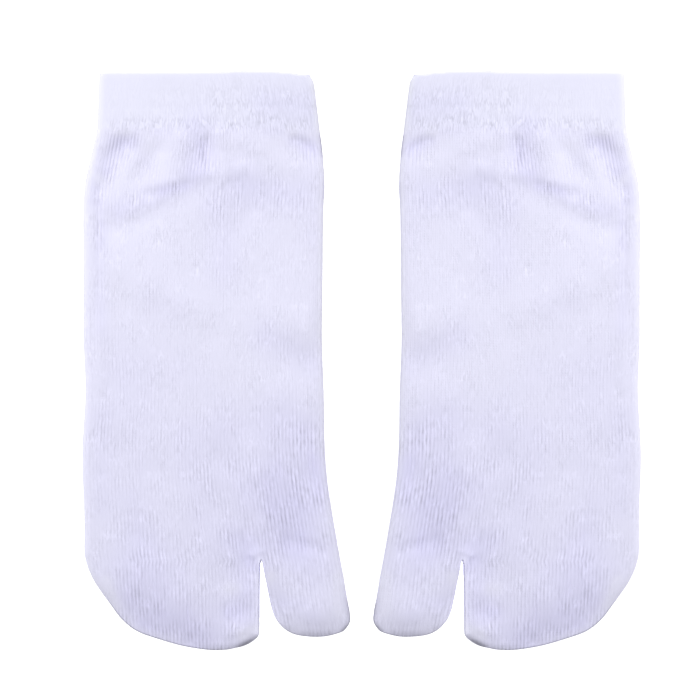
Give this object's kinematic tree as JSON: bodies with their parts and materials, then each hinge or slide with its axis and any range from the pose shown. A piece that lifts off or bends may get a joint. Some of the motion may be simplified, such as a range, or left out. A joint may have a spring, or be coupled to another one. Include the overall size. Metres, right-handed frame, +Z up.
{
  "type": "pair of tabi socks",
  "caption": "Pair of white cotton-knit ankle socks with a split toe, laid flat side by side, soles down, mirror images of each other.",
  "frame": {"origin": "bottom centre of the pair's box, on the surface that the socks lie on", "axes": "+X from the right sock to the left sock, +Y from the toes to the cuffs, +Z up from the surface through both layers"},
  "size_m": [0.224, 0.2313, 0.0067],
  "materials": {
    "cotton_knit": "matt plain knit with fine lengthwise wales, white with a cool lavender cast, and a slightly brushed double cuff"
  },
  "bodies": {
    "root": {"right_sock": "cotton_knit", "left_sock": "cotton_knit"}
  },
  "joints": []
}
